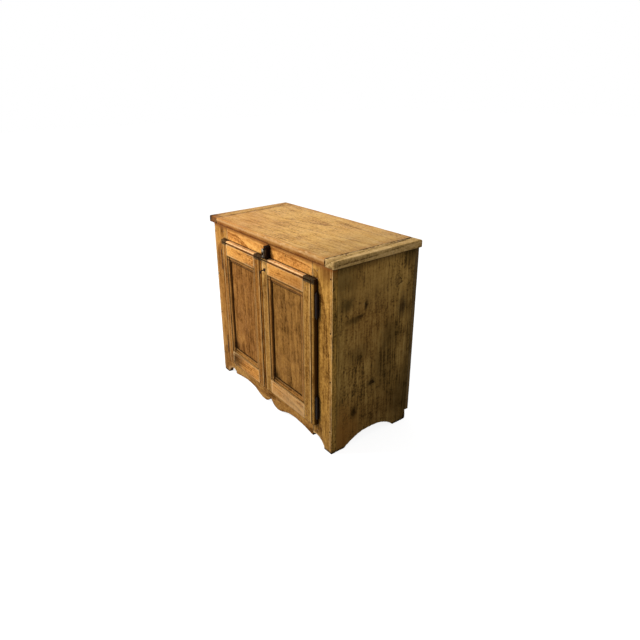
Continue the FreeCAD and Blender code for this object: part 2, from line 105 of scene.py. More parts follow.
# %% Colours and nodes
def linear(hex_colour):
    """An sRGB colour such as 8A5A2B, as the linear values that a shader wants."""
    values = [int(hex_colour[i:i + 2], 16) / 255 for i in (0, 2, 4)]
    spread = [v / 12.92 if v <= 0.04045 else ((v + 0.055) / 1.055) ** 2.4 for v in values]
    return (*spread, 1.0)


COLOURS = {"data_type": "RGBA"}
SMOOTH = {"interpolation_type": "SMOOTHSTEP"}


def add(tree, kind, settings=None, inputs=None, output=0):
    """Add a shader node and give back one output. One word as settings is its operation."""
    node = tree.nodes.new("ShaderNode" + kind)
    if isinstance(settings, str):
        settings = {"operation": settings}
    for name, value in (settings or {}).items():
        setattr(node, name, value)
    for key, value in (inputs or {}).items():
        if isinstance(value, bpy.types.NodeSocket):
            tree.links.new(value, node.inputs[key])
        else:
            node.inputs[key].default_value = value
    return node.outputs[output]


def new_material(name):
    """An empty node material, with its surface socket."""
    material = bpy.data.materials.new(name)
    material.use_nodes = True
    tree = material.node_tree
    tree.nodes.clear()
    surface = tree.nodes.new("ShaderNodeOutputMaterial").inputs["Surface"]
    return material, tree, surface


print("walnut brown is", [round(v, 3) for v in linear("5A3A1E")])

# %% [markdown]
# ## Floor and sky
#
# The photograph shows the sideboard cut out on white. A white floor would light the wood
# from below, so this one is a plain grey sheet.

# %% Lay the floor
FLOOR_SIZE = 40.0
sheet = bmesh.new()
bmesh.ops.create_grid(sheet, x_segments=1, y_segments=1, size=FLOOR_SIZE / 2)
floor_mesh = bpy.data.meshes.new("studio_floor")
sheet.to_mesh(floor_mesh)
sheet.free()
floor = bpy.data.objects.new("studio_floor", floor_mesh)
bpy.context.scene.collection.objects.link(floor)
print("the floor is", FLOOR_SIZE, "m wide")

# %% [markdown]
# To the camera, and in reflections, floor and sky also glow, so that the floor turns white
# and keeps its shadow. Light Path tells the rays apart, so no extra light reaches the wood.

# %% Make the floor and the sky white
FLOOR_GREY = 0.36
FLOOR_GLOW = 0.88
SKY_LEVEL = 0.42


def seen_directly(tree):
    """1 for rays from the camera, reflections and clear glass, and 0 for all others."""
    path = tree.nodes.new("ShaderNodeLightPath").outputs
    shiny = add(tree, "Math", "MAXIMUM",
                {0: path["Is Glossy Ray"], 1: path["Is Transmission Ray"]})
    return add(tree, "Math", "MAXIMUM", {0: path["Is Camera Ray"], 1: shiny})


floor_paper, tree, surface = new_material("studio_paper")
matt = add(tree, "BsdfDiffuse", None, {"Color": (FLOOR_GREY, FLOOR_GREY, FLOOR_GREY, 1)})
strength = add(tree, "Math", "MULTIPLY", {0: seen_directly(tree), 1: FLOOR_GLOW})
glow = add(tree, "Emission", None, {"Color": (1, 1, 1, 1), "Strength": strength})
tree.links.new(add(tree, "AddShader", None, {0: matt, 1: glow}), surface)
floor_mesh.materials.append(floor_paper)

sky = bpy.data.worlds.new("studio_sky")
sky.use_nodes = True
tree = sky.node_tree
tree.nodes.clear()
dome = tree.nodes.new("ShaderNodeOutputWorld").inputs["Surface"]
strength = add(tree, "MapRange", None,
               {"Value": seen_directly(tree), "To Min": SKY_LEVEL, "To Max": 1.0})
tree.links.new(add(tree, "Background", None, {"Color": (1, 1, 1, 1), "Strength": strength}), dome)
bpy.context.scene.world = sky
bpy.context.scene.view_settings.view_transform = "Standard"
print("floor and sky are ready")

# %% [markdown]
# ## Two lamps
#
# In the photograph the front glows while the right side lies in soft shade. So a large soft
# box stands in front on the left, and a weak one above keeps the top even. Point lamps are
# simpler, but a wide lamp gives the soft shadows of the photograph.

# %% Hang the lamps
LAMP_AIM = Vector((0, 0, 0.45))


def soft_box(name, place, size, power):
    """A square studio lamp that looks at the middle of the sideboard."""
    lamp = bpy.data.lights.new(name, "AREA")
    lamp.size = size
    lamp.energy = power
    obj = bpy.data.objects.new(name, lamp)
    way = (LAMP_AIM - Vector(place)).to_track_quat("-Z", "Y")
    obj.matrix_world = Matrix.Translation(place) @ way.to_matrix().to_4x4()
    bpy.context.scene.collection.objects.link(obj)


soft_box("key_soft_box", (-1.7, -2.7, 2.4), 1.1, 122.0)
soft_box("top_soft_box", (-0.5, 0.3, 3.4), 1.8, 10.0)
print("two soft boxes light the front and the top")

# %% [markdown]
# ## Old pine
#
# Pine shows its growth rings as long lines of hard, dark latewood. On a real board these are
# cuts through a stack of cones around the heart of the tree, so the finish draws rings around
# an axis that runs beside each board. The place in the tree comes with the mesh, as an
# attribute called grain: along, across and through the board, in metres. Rings drawn in
# space carry on round every arris, which a flat picture of wood wouldn't.
#
# ### Knots
#
# A knot is a branch that the trunk grew around: a brown core, a broken rim of black bark, and
# rings that flow around both. Noise alone could scatter them, but a centre, a half width and
# a half height put each where the real board has one.

# %% Draw the knots
KNOT_REACH = 2.6


def knot_marks(tree, place, grit, knots):
    """How much each point lies in a knot or on its bark, and how far the rings bend there."""
    core, bark, bend = 0.0, 0.0, 0.0
    for centre, width, height in knots:
        offset = add(tree, "VectorMath", "SUBTRACT", {0: place, 1: centre})
        shrunk = add(tree, "VectorMath", "MULTIPLY",
                     {0: offset, 1: (1 / width, 1 / width, 1 / height)})
        reach = add(tree, "VectorMath", "LENGTH", {0: shrunk}, output="Value")
        inside = add(tree, "MapRange", SMOOTH, {"Value": reach, "From Min": 1.2, "From Max": 0.8})
        rim = add(tree, "Math", "COMPARE", {0: reach, 1: 0.95, 2: 0.2})
        wide = add(tree, "MapRange", SMOOTH,
                   {"Value": reach, "From Min": KNOT_REACH, "From Max": 0.3,
                    "To Max": 2.2 * width})
        core = add(tree, "Math", "MAXIMUM", {0: core, 1: inside})
        bark = add(tree, "Math", "MAXIMUM", {0: bark, 1: rim})
        bend = add(tree, "Math", "ADD", {0: bend, 1: wide})
    broken = add(tree, "MapRange", None, {"Value": grit, "From Min": 0.4, "From Max": 0.52})
    bark = add(tree, "Math", "MULTIPLY", {0: bark, 1: broken})
    return core, bark, bend


print("a knot bends the rings over", KNOT_REACH, "times its own size")

# %% [markdown]
# ### Rings and fibres
#
# The distance from the heart is counted in rings, and its fraction rises across each ring as
# the real wood darkens. Noise bends the axis, because no trunk is straight. Real fibres are
# thin as hair, too fine for the picture, so they are drawn coarser.

# %% Draw the rings and the fibres
RING_SPACING = 6.5 * MM
FIBRES_ACROSS = 120
WANDER = 50 * MM
TAPER = 0.012


def ring_figure(tree, grain, bend):
    """Growth rings and fibres, from 0 to 1, with the rings bent around the knots."""
    slow = add(tree, "VectorMath", "MULTIPLY", {0: grain, 1: (1.6, 9, 9)})
    drift = add(tree, "TexNoise", None, {"Vector": slow, "Scale": 1.0, "Detail": 2.0}, "Color")
    shift = add(tree, "VectorMath", "MULTIPLY_ADD", {0: drift, 1: (0, WANDER, WANDER), 2: grain})
    cross = add(tree, "VectorMath", "MULTIPLY", {0: shift, 1: (TAPER, 1, 1)})
    radius = add(tree, "VectorMath", "LENGTH", {0: cross}, output="Value")
    bent = add(tree, "Math", "ADD", {0: radius, 1: bend})
    turns = add(tree, "Math", "DIVIDE", {0: bent, 1: RING_SPACING})
    part = add(tree, "Math", "FRACT", {0: turns})
    rings = add(tree, "Math", "POWER", {0: part, 1: 2.2})
    thin = add(tree, "VectorMath", "MULTIPLY", {0: shift, 1: (6, FIBRES_ACROSS, FIBRES_ACROSS)})
    fibres = add(tree, "TexNoise", None,
                 {"Vector": thin, "Scale": 1.0, "Detail": 5.0, "Roughness": 0.7})
    return rings, fibres


print("fibres are", round(1000 / FIBRES_ACROSS, 1), "mm apart")

# %% [markdown]
# ### Blotches, clouds, mottle, grit and cracks
#
# Wax and smoke settle unevenly: in blotches drawn out along the grain, in wide clouds, in a
# finer mottle, and as grit in the pores. Fine cracks could be drawn one by one, but a height
# line of the mottle wanders as they do, and the clouds decide where any show.

# %% Put the figure together
WOBBLE = 22 * MM
GRIT_SCALE = 105
WORM_HOLE_SPACING = 24 * MM
CRACK_WIDTH = 0.008


def wood_figure(tree, knots):
    """What a board shows before its finish, each layer from 0 to 1."""
    grain = add(tree, "Attribute", {"attribute_name": "grain"}, output="Vector")
    place = add(tree, "TexCoord", output="Object")
    jitter = add(tree, "TexNoise", None, {"Vector": place, "Scale": 42.0, "Detail": 3.0}, "Color")
    around = add(tree, "VectorMath", "SUBTRACT", {0: place, 1: (WOBBLE / 2,) * 3})
    wobbly = add(tree, "VectorMath", "MULTIPLY_ADD", {0: jitter, 1: (WOBBLE,) * 3, 2: around})
    grit = add(tree, "TexNoise", None,
               {"Vector": place, "Scale": GRIT_SCALE, "Detail": 4.0, "Roughness": 0.65})
    core, bark, bend = knot_marks(tree, wobbly, grit, knots)
    rings, fibres = ring_figure(tree, grain, bend)
    broad = add(tree, "VectorMath", "MULTIPLY", {0: grain, 1: (13, 34, 34)})
    blotches = add(tree, "TexNoise", None,
                   {"Vector": broad, "Scale": 1.0, "Detail": 6.0, "Roughness": 0.68})
    clouds = add(tree, "TexNoise", None,
                 {"Vector": place, "Scale": 9.0, "Detail": 6.0, "Roughness": 0.6})
    mottle = add(tree, "TexNoise", None, {"Vector": place, "Scale": 24.0, "Detail": 5.0})
    contour = add(tree, "Math", "COMPARE", {0: mottle, 1: 0.5, 2: CRACK_WIDTH})
    seldom = add(tree, "MapRange", None, {"Value": clouds, "From Min": 0.5, "From Max": 0.6})
    cracks = add(tree, "Math", "MULTIPLY", {0: contour, 1: seldom})
    holes = tree.nodes.new("ShaderNodeTexVoronoi")
    holes.inputs["Scale"].default_value = 1 / WORM_HOLE_SPACING
    tree.links.new(place, holes.inputs["Vector"])
    return {"place": place, "wobbly": wobbly, "rings": rings, "fibres": fibres,
            "blotches": blotches, "clouds": clouds, "grit": grit, "core": core, "bark": bark,
            "mottle": mottle, "cracks": cracks,
            "hole_distance": holes.outputs["Distance"], "hole_luck": holes.outputs["Color"]}


print("worm holes are", round(WORM_HOLE_SPACING / MM), "mm apart or more")

# %% [markdown]
# ### From figure to colour
#
# The layers are added up to one tone, each about its own mean, so that a strong layer doesn't
# darken the whole board. Three shades, from pale to dark, then span the tone. A Color Ramp
# would do as well, but its stops aren't sockets.

# %% Pick a colour by tone
MEANS = {"rings": 0.31, "fibres": 0.5, "blotches": 0.5, "clouds": 0.5, "grit": 0.5,
         "mottle": 0.5}


def tone_share(tree, figure, shares):
    """How dark the figure makes each point, from 0 for pale to 1 for dark."""
    total = 0.5 - sum(share * MEANS[key] for key, share in shares.items())
    for key, share in shares.items():
        total = add(tree, "Math", "MULTIPLY_ADD", {0: figure[key], 1: share, 2: total})
    return total


def toned(tree, tone, shades):
    """A colour that runs from the pale to the middle to the dark shade as the tone rises."""
    pale, middle, dark = (linear(shade) for shade in shades)
    lighter = add(tree, "MapRange", None, {"Value": tone, "From Max": 0.5})
    darker = add(tree, "MapRange", None, {"Value": tone, "From Min": 0.5})
    colour = add(tree, "Mix", COLOURS, {0: lighter, 6: pale, 7: middle}, 2)
    return add(tree, "Mix", COLOURS, {0: darker, 6: colour, 7: dark}, 2)


print("a tone is mixed from", ", ".join(MEANS))

# %% [markdown]
# ## Dirt and painted light that follow the joinery
#
# A century of wax and dust fills the quirks of the mouldings, the joints around the panels
# and the line where a door meets its frame. Lines of the same kind also paint shade under
# edges and highlights on beads. Ambient Occlusion finds deep corners, but these lines are
# shallow, so each is drawn as the outline of a box: coloured where the distance to the
# nearest of its sides is small. A side without a moulding is put far away. The boxes are read
# from the CAD pieces, so the dirt and the painted light move with them.

# %% Distance to an outline
FAR = 9.0


def near_outline(tree, figure, low, high, reach, share):
    """A share for points nearer to the outline of a box than a reach, ragged by the grit."""
    middle = (low + high) / 2
    half = (high - low) / 2
    offset = add(tree, "VectorMath", "SUBTRACT", {0: figure["place"], 1: middle})
    size = add(tree, "VectorMath", "ABSOLUTE", {0: offset})
    inset = add(tree, "VectorMath", "SUBTRACT", {0: half, 1: size})
    sides = tree.nodes.new("ShaderNodeSeparateXYZ")
    tree.links.new(inset, sides.inputs["Vector"])
    flat = add(tree, "Math", "MINIMUM", {0: sides.outputs["X"], 1: sides.outputs["Y"]})
    least = add(tree, "Math", "MINIMUM", {0: flat, 1: sides.outputs["Z"]})
    away = add(tree, "Math", "ABSOLUTE", {0: least})
    ragged = add(tree, "Math", "MULTIPLY_ADD", {0: figure["grit"], 1: 1.6 * reach, 2: away})
    return add(tree, "MapRange", SMOOTH,
               {"Value": ragged, "From Min": 1.85 * reach, "From Max": 0.95 * reach,
                "To Max": share})


def box_of(*nodes):
    """The lowest and highest corners of several CAD pieces together."""
    lows, highs = zip(*(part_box(node) for node in nodes))
    return (Vector(map(min, zip(*lows))), Vector(map(max, zip(*highs))))


def outline(low, high, left=0, right=0, bottom=0, top=0):
    """A box on the front, drawn in by millimetres on each side; None puts that side far off."""
    low, high = low.copy(), high.copy()
    low.y, high.y = -FAR, FAR
    low.x = -FAR if left is None else low.x + left * MM
    high.x = FAR if right is None else high.x - right * MM
    low.z = -FAR if bottom is None else low.z + bottom * MM
    high.z = FAR if top is None else high.z - top * MM
    return low, high


print("dirt lines are the outlines of boxes")

# %% [markdown]
# ## Marks over the wood
#
# Marks are laid over the colour in this order: knots, holes and cracks, stains, darkening
# towards the bottom, wear, cut ends, lines of dirt, painted shade and painted highlight,
# chips and a painted glint, and dirt and painted shade in deep corners. Each is a share and
# a shade, so one loop of Mix nodes lays them all. A stain is a ball whose edge the blotches
# and the grit push about, because a clean round spot looks painted.

# %% Draw stains
def stain_layers(tree, figure, stains):
    """A ragged round or long mark for each stain: its centre, reach, shade and share."""
    layers = []
    for centre, reach, shade, share in stains:
        offset = add(tree, "VectorMath", "SUBTRACT", {0: figure["wobbly"], 1: centre})
        shrunk = add(tree, "VectorMath", "DIVIDE", {0: offset, 1: reach})
        away = add(tree, "VectorMath", "LENGTH", {0: shrunk}, output="Value")
        ragged = add(tree, "Math", "MULTIPLY_ADD", {0: figure["blotches"], 1: 1.3, 2: away})
        gritty = add(tree, "Math", "MULTIPLY_ADD", {0: figure["grit"], 1: 1.6, 2: ragged})
        spot = add(tree, "MapRange", SMOOTH,
                   {"Value": gritty, "From Min": 2.8, "From Max": 1.6, "To Max": share})
        layers.append((spot, shade))
    return layers


print("stains are balls with ragged edges")

# %% [markdown]
# ### Small marks
#
# Worms leave round holes, and resin shows as dashes. A Voronoi texture places one hole in
# each cell, and its random colour leaves half of the cells empty. The dashes could have a
# texture of their own, but the darkest of the fibres already lie along the grain.

# %% Draw knots, worm holes, dashes and cracks
KNOT_CORE, KNOT_BARK, HOLE, CRACK = "4A2C14", "160C06", "241407", "3A2210"


def small_marks(tree, figure, knot_share, holes, dashes, cracks):
    """The small marks of a board, as layers of a share and a shade."""
    layers = [(add(tree, "Math", "MULTIPLY", {0: figure[key], 1: share}), shade)
              for key, share, shade in (("core", 0.6 * knot_share, KNOT_CORE),
                                        ("bark", knot_share, KNOT_BARK))]
    hole = add(tree, "MapRange", SMOOTH,
               {"Value": figure["hole_distance"], "From Min": 0.12, "From Max": 0.05,
                "To Max": holes})
    luck = add(tree, "MapRange", None,
               {"Value": figure["hole_luck"], "From Min": 0.5, "From Max": 0.56})
    layers.append((add(tree, "Math", "MULTIPLY", {0: hole, 1: luck}), HOLE))
    dash = add(tree, "MapRange", None,
               {"Value": figure["fibres"], "From Min": 0.60, "From Max": 0.72,
                "To Max": dashes})
    layers.append((dash, CRACK))
    crack = add(tree, "Math", "MULTIPLY", {0: figure["cracks"], 1: cracks})
    layers.append((crack, CRACK))
    return layers


print("cracks are", CRACK)

# %% [markdown]
# ### Wear, ends, dirt and painted shade
#
# Hands and cloths rub the arrises bare in patches. Cut ends drink smoke until they are nearly
# black, as do the moulded ends of a door's stiles, above a certain height. The lines of dirt
# and painted light keep off faces that are turned to the back, and Ambient Occlusion paints
# deep corners black, as dirt and painted shade.

# %% Lay the wear, the ends and the dirt
END_WOOD, DIRT_AND_SHADE = "1F2321", "1F1107"


def worn_layer(tree, figure, wear, bare, outer):
    """Bare wood along the arrises in patches, and none on the outer face if that is given."""
    worn = add(tree, "Attribute", {"attribute_name": "wear"}, output="Fac")
    if outer is not None:
        worn = add(tree, "Math", {"operation": "SUBTRACT", "use_clamp": True}, {0: worn, 1: outer})
    patchy = add(tree, "MapRange", None,
                 {"Value": figure["blotches"], "From Min": 0.38, "From Max": 0.6,
                  "To Min": 0.1, "To Max": wear})
    return add(tree, "Math", "MULTIPLY", {0: worn, 1: patchy}), bare


def end_layer(tree, height, end_above, share):
    """The dark of cut ends, and of all that lies above a height."""
    ends = add(tree, "Attribute", {"attribute_name": "cut_end"}, output="Fac")
    moulded_end = add(tree, "MapRange", None,
                      {"Value": height, "From Min": end_above - 1 * MM,
                       "From Max": end_above + 1 * MM})
    end_wood = add(tree, "Math", "MAXIMUM", {0: ends, 1: moulded_end})
    return add(tree, "Math", "MULTIPLY", {0: end_wood, 1: share}), END_WOOD


def lines_of_dirt_and_light(tree, figure, outlines):
    """Lines of dirt, painted shade and highlight along the outlines, off faces turned back."""
    turned_back = add(tree, "Attribute", {"attribute_name": "turned_back"}, output="Fac")
    layers = []
    for low, high, reach, line_colour, share in outlines:
        line = near_outline(tree, figure, low, high, reach * MM, share)
        line = add(tree, "Math", {"operation": "SUBTRACT", "use_clamp": True},
                   {0: line, 1: turned_back})
        layers.append((line, line_colour))
    return layers


def shade_and_dirt_in_corners(tree, reach, share):
    """Black dirt and painted shade in deep corners."""
    open_sky = add(tree, "AmbientOcclusion", {"samples": 8}, {"Distance": reach}, "AO")
    shut = add(tree, "MapRange", SMOOTH,
               {"Value": open_sky, "From Min": 0.9, "From Max": 0.5, "To Max": share})
    return shut, DIRT_AND_SHADE


print("cut ends are", END_WOOD, "and dirt is", DIRT_AND_SHADE)

# %% [markdown]
# ### One board's finish
#
# Old wax isn't varnish. It shines a little where the wood is pale and rubbed, and not where
# it is black with dirt, so the shine follows the brightness. A clear coat would gleam
# everywhere. A low bump lets the fibres and the grit catch the light.

# %% Mix old pine
USUAL_SHARES = {"rings": 0.4, "fibres": 1.7, "blotches": 1.2, "clouds": 0.9, "grit": 1.6,
                "mottle": 0.4}
RELIEF = 1.3 * MM
LOW_DARK_HEIGHT = 0.75
LOW_DARK = "241808"


def waxed(tree, figure, colour, roughness, shine):
    """A shader of waxed wood, with its relief and its shine."""
    height = add(tree, "Math", "MULTIPLY_ADD", {0: figure["rings"], 1: -0.4, 2: figure["fibres"]})
    height = add(tree, "Math", "ADD", {0: height, 1: figure["grit"]})
    relief = add(tree, "Bump", None, {"Strength": 0.6, "Distance": RELIEF, "Height": height})
    gloss = add(tree, "MapRange", None,
                {"Value": figure["blotches"], "From Min": 0.3, "From Max": 0.7,
                 "To Min": roughness - 0.1, "To Max": roughness + 0.12})
    brightness = add(tree, "RGBToBW", None, {"Color": colour})
    polish = add(tree, "MapRange", None,
                 {"Value": brightness, "From Min": 0.03, "From Max": 0.35, "To Max": shine})
    return add(tree, "BsdfPrincipled", None,
               {"Base Color": colour, "Roughness": gloss, "Normal": relief,
                "Specular IOR Level": polish})


def old_pine(name, shades, bare="C99C62", figure_shares=None, outer_shades=None, knots=(),
             knot_share=0.9, holes=0.7, dashes=0.0, cracks=0.0, stains=(), darker_below=0.0, wear=0.8,
             end_above=FAR, end_share=0.8, outlines=(), knocks_and_glints=(), dirt_and_shade_reach=14 * MM,
             dirt_and_shade_share=0.9, roughness=0.55, shine=0.1):
    """Old waxed pine in a pale, a middle and a dark shade, with its marks, wear and dirt."""
    material, tree, surface = new_material(name)
    figure = wood_figure(tree, knots)
    tone = tone_share(tree, figure, USUAL_SHARES | (figure_shares or {}))
    colour = toned(tree, tone, shades)
    outer = None
    if outer_shades:
        outer = add(tree, "Attribute", {"attribute_name": "outer"}, output="Fac")
        colour = add(tree, "Mix", COLOURS,
                     {0: outer, 6: colour, 7: toned(tree, tone, outer_shades)}, 2)
    height = add(tree, "SeparateXYZ", None, {"Vector": figure["place"]}, "Z")
    # Below a height the colour is mixed darker, more so towards the bottom.
    low_darkening = add(tree, "MapRange", None,
                   {"Value": height, "From Min": LOW_DARK_HEIGHT, "From Max": 0.0, "To Max": darker_below})
    layers = [*small_marks(tree, figure, knot_share, holes, dashes, cracks),
              *stain_layers(tree, figure, stains), (low_darkening, LOW_DARK),
              worn_layer(tree, figure, wear, bare, outer),
              end_layer(tree, height, end_above, end_share),
              *lines_of_dirt_and_light(tree, figure, outlines), *stain_layers(tree, figure, knocks_and_glints),
              shade_and_dirt_in_corners(tree, dirt_and_shade_reach, dirt_and_shade_share)]
    for share, shade in layers:
        colour = add(tree, "Mix", COLOURS, {0: share, 6: colour, 7: linear(shade)}, 2)
    tree.links.new(waxed(tree, figure, colour, roughness, shine), surface)
    return material


print("old pine usually adds", USUAL_SHARES)

# %% [markdown]
# ## The finishes of this sideboard
#
# It is all one wood, but sun, hands and smoke have treated each part in its own way: the top
# is bleached to honey, the rails are orange under wax, the panels are browner, and the sides
# are dark. Marks could be painted on by hand, but one that is given in millimetres is moved
# by changing one number.

# %% Say where marks lie
def on_face(x, z, depth=0.0):
    """A point on the front, from its place beside the middle and above the floor, in mm."""
    return (middle_x + x * MM, face_y - depth * MM, z * MM)


side_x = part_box("side_panel_right")[1].x


def on_side(y, z):
    """A point on the right side, from its depth behind the face and its height, in mm."""
    return (side_x, face_y + y * MM, z * MM)


top_low, top_high = box_of("top_board", "top_cleat_right", "top_cleat_left")


def on_top_edge(x, z):
    """A point on the top's front edge, beside the middle and below the top, in mm."""
    return (middle_x + x * MM, top_low.y, top_high.z - z * MM)


def level_line(z, reach, line_colour, share):
    """A line all the way round at one height."""
    return (Vector((-FAR, -FAR, -FAR)), Vector((FAR, FAR, z)), reach, line_colour, share)


print("the top is", round((top_high.z - top_low.z) / MM), "mm thick")

# %% [markdown]
# ### Marks of the top
#
# Wax lies darker along the joints with the cleats and around the rim. The front edge is
# painted dark on its lower half, as shade under the rounded arris, and pale on its upper half,
# as painted highlight and where cloths rub. Hands have reddened it, and knocks have chipped
# it. What runs all the way round is an outline, and the rest are stains.

# %% Mark the top
top_plan = (Vector((top_low.x, top_low.y, -FAR)), Vector((top_high.x, top_high.y, FAR)))
top_joints = (Vector((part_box("top_cleat_left")[1].x, -FAR, -FAR)),
              Vector((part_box("top_cleat_right")[0].x, FAR, FAR)))
rubbed_rim = (*top_plan, 26, "B0682A", 0.38)
top_edge = (*top_plan, 2.4, "6E3C16", 0.42)
# Dark low on the front edge: painted shade under the rounded arris.
shaded_underside = level_line(top_low.z, 13, "5E2E10", 0.85)
joint_mark = (*top_joints, 2.6, "6A3C18", 0.75)
joint_rim = (*top_joints, 34, "9E6830", 0.35)
# Pale on the upper half of the front edge: painted highlight, and rubbed wood.
rubbed_and_lit_line = level_line(top_high.z - 9 * MM, 8, "E6B474", 0.5)

black_tip = ((top_low.x, top_low.y, top_high.z - 14 * MM), (0.034, 0.05, 0.06), "30241A", 0.95)
red_end = ((top_low.x + 50 * MM, top_low.y, top_high.z - 10 * MM), (0.07, 0.04, 0.04),
           "84461C", 0.8)
sun_marks = [((middle_x - 0.33, top_low.y + 0.08, top_high.z), (0.26, 0.16, 0.2), "C07A32", 0.4),
             ((middle_x + 0.36, 0.0, top_high.z), (0.16, 0.4, 0.2), "A68344", 0.4)]
hand_marks = [(on_top_edge(x, z), (wide * MM, 0.02, 0.012), "743A14", share)
              for x, z, wide, share in (
                  (-390, 18, 70, 0.75), (-285, 22, 40, 0.5), (-190, 16, 30, 0.5),
                  (-80, 24, 50, 0.5), (10, 12, 16, 0.4), (110, 22, 40, 0.5),
                  (180, 14, 14, 0.45), (250, 20, 30, 0.5), (330, 16, 26, 0.5))]
knocks_and_glints = [(on_top_edge(x, z), (0.014, 0.006, 0.006), "E8BE82", 0.5)
         for x, z in ((-40, 3), (20, 2), (64, 5), (92, 2), (130, 7), (150, 2), (196, 4),
                      (232, 2), (262, 8), (300, 3), (352, 5))]
print("the top has", len(hand_marks), "hand marks and", len(knocks_and_glints), "knocks_and_glints")

# %% [markdown]
# Light has bleached the wide board, and the right cleat is grey, dull and rough. Each pine is
# given by three shades and its bare wood, and only what differs from the usual is said.

# %% Mix the pines of the top
finishes = {}
finishes["top"] = old_pine(
    "honey_pine_top", ("F0C26C", "D6A052", "96642E"), "E8C48A",
    {"rings": 0.3, "blotches": 0.7, "clouds": 1.1, "fibres": 1.1, "grit": 1.8},
    stains=sun_marks + hand_marks, knocks_and_glints=knocks_and_glints,
    outlines=[rubbed_rim, top_edge, shaded_underside, joint_mark, joint_rim, rubbed_and_lit_line],
    dashes=0.12, cracks=0.7, dirt_and_shade_share=0.5, roughness=0.5)
finishes["left_cleat"] = old_pine(
    "honey_pine_cleat", ("DDAE62", "BE8A44", "7E5024"), "C9A272", stains=[red_end, black_tip],
    outlines=[shaded_underside, joint_mark], dashes=0.3, dirt_and_shade_share=0.5, end_share=0.35)
finishes["right_cleat"] = old_pine(
    "weathered_pine_cleat", ("DEB87C", "BC9658", "6A502A"), "D0BA90",
    {"fibres": 1.4, "blotches": 0.8},
    # A dark line low on the cleat's edge is painted shade.
    outlines=[joint_mark, level_line(top_low.z, 3.0, "42220E", 0.55)],
    dashes=0.15, dirt_and_shade_share=0.6, end_share=0.15, roughness=0.7)
print("top finishes:", ", ".join(sorted(finishes)))

# %% [markdown]
# ### Marks of the case
#
# The case is darker near the floor. Under the top, dirt and painted shade darken the rail,
# the stiles and the sides, and dirt and painted shade line the doors. The right side has five
# knots with black stains about them, and a dark strip along the back. Noise could place
# such stains by chance, but the eye knows a piece by the largest of them.

# %% Mark the face frame and the right side
SIDES = ("right", "left")
doors = {side: box_of(f"{side}_door_hinge_stile", f"{side}_door_meeting_stile") for side in SIDES}
# Dark lines on the frame around each door: dirt and painted shade where the door meets it.
dirt_and_shade_around_doors = [(*outline(*doors[side], -1, -1, -1, -1), 3.0, "3E220E", 0.75) for side in SIDES]
# Darker near the floor, in a band 14 mm high.
floor_line = (Vector((-FAR, -FAR, 0)), Vector((FAR, FAR, FAR)), 14, "2A1A0C", 0.8)
back_line = (Vector((-FAR, -FAR, -FAR)), Vector((FAR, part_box("side_panel_right")[1].y, FAR)),
             46, "1C150A", 0.45)
# A dark band under the top: painted shade under the overhang, and dirt.
dirt_and_shade_under_top = level_line(top_low.z, 20, "844A1A", 0.75)
case = box_of("front_stile_left", "front_stile_right")
# A pale line 12 mm in from each side arris: wear and a painted highlight.
worn_and_lit_stile_edges = (*outline(*case, 12, 12, None, None), 2.4, "F0C078", 0.4)

side_knots = [(on_side(y, z), wide * MM, tall * MM) for y, z, wide, tall in (
    (340, 688, 19, 15), (172, 635, 7, 11), (144, 584, 9, 7), (213, 270, 13, 9),
    (118, 158, 8, 15))]
side_stains = [
    (on_side(y, z), (0.1, wide * MM, tall * MM), shade, share)
    for y, z, wide, tall, shade, share in (
        (190, 640, 160, 300, "8A5A26", 0.4), (220, 700, 200, 130, "B48E4A", 0.4),
        (30, 420, 50, 420, "A88442", 0.3), (250, 120, 200, 100, "7A4E20", 0.3),
        (50, 60, 110, 160, "B87C34", 0.8), (50, 760, 80, 90, "4A3818", 0.6),
        (330, 330, 120, 300, "3A2C12", 0.2), (66, 652, 40, 34, "1C1B0C", 0.65),
        (107, 579, 46, 18, "1E170A", 0.6), (168, 628, 10, 24, "120B06", 0.85),
        (140, 590, 26, 9, "1E1209", 0.7), (372, 572, 30, 60, "1C1010", 0.8),
        (396, 790, 50, 44, "20180C", 0.55), (304, 456, 60, 70, "2E230F", 0.5),
        (280, 322, 60, 100, "2A1E0E", 0.4), (213, 270, 26, 18, "180E0B", 0.7),
        (116, 160, 18, 36, "17120A", 0.75), (130, 424, 60, 40, "2A220E", 0.4),
        (400, 150, 90, 160, "241A0C", 0.5))]
print("the right side has", len(side_knots), "knots and", len(side_stains), "stains")

# %% [markdown]
# The outer face of a stile looks to the side, so it takes shades like those of the side.
# Boards inside were never waxed. Hands have blackened the latch and rubbed its edges, and a
# pale highlight is painted on the button.

# %% Mix the pines of the case
finishes["stile"] = old_pine(
    "waxed_pine_stile", ("D8A04A", "AC7A34", "664016"), "F0C484",
    knots=[(on_face(-378, 798), 9 * MM, 22 * MM), (on_face(-386, 596), 8 * MM, 20 * MM)],
    stains=[(on_face(-380, 800), (0.02, 0.1, 0.05), "3A2412", 0.8),
            (on_face(418, 790), (0.05, 0.1, 0.05), "6E4018", 0.7),
            (on_face(-400, 400), (0.12, 0.1, 1.2), "965820", 0.42)],
    outlines=[worn_and_lit_stile_edges, floor_line, dirt_and_shade_under_top, *dirt_and_shade_around_doors],
    darker_below=0.3, wear=1.0, outer_shades=("CC9A46", "9A7331", "4E3A17"))
finishes["rail"] = old_pine(
    "waxed_pine_rail", ("F4B962", "DB9646", "925620"), "EBB877", {"rings": 0.5},
    outlines=[dirt_and_shade_under_top, *dirt_and_shade_around_doors],
    stains=[(on_face(x, z), (0.005, 0.05, 0.005), "241407", 0.9)
            for x, z in ((155.8, 784.4), (366.3, 768.7))])
